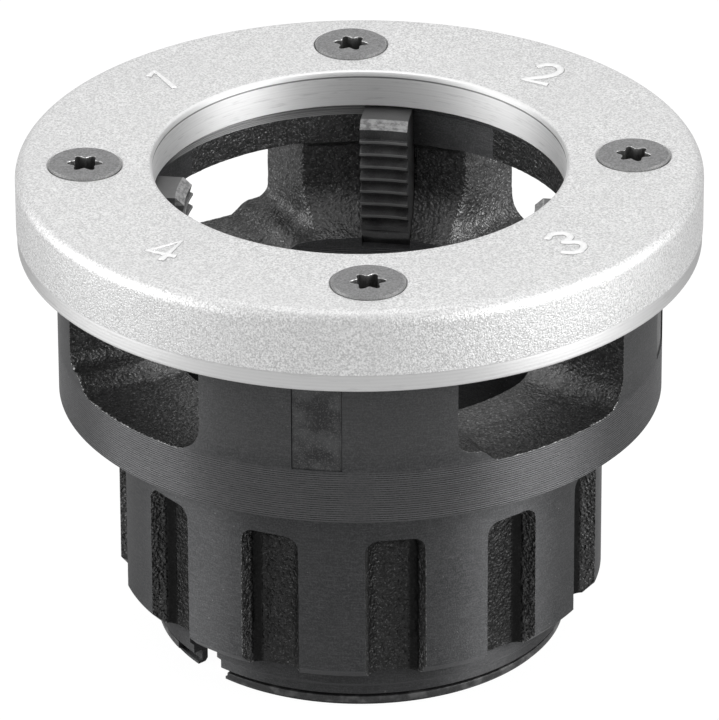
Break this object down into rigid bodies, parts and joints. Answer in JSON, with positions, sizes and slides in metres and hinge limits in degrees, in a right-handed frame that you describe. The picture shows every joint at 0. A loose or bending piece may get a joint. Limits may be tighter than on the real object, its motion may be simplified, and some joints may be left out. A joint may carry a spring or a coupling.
{
  "type": "pipe threading die head",
  "caption": "Round die head for hand threading of pipe: a ribbed cast body that carries chasers in slots under a screwed cover ring, with chip windows between them.",
  "frame": {"origin": "on the pipe axis, at the lower end of the collar, where the head stands", "axes": "+Z along the pipe axis, from the collar to the cover; the picture looks along +Y from the front and above"},
  "size_m": [0.112, 0.112, 0.083],
  "materials": {
    "black_casting": "black oxide, turned outside, rough as cast in the hollows",
    "light_casting": "fine sandy casting, with a turned bore and skirt edge",
    "tool_steel": "dark hardened tool steel, ground",
    "screw_steel": "dark phosphated steel",
    "spring_steel": "black spring steel"
  },
  "bodies": {
    "root": {"body": "black_casting", "cover": "light_casting", "chaser_1": "tool_steel", "chaser_2": "tool_steel", "chaser_3": "tool_steel", "chaser_4": "tool_steel", "cover_screws": "screw_steel", "snap_ring": "spring_steel"}
  },
  "joints": []
}
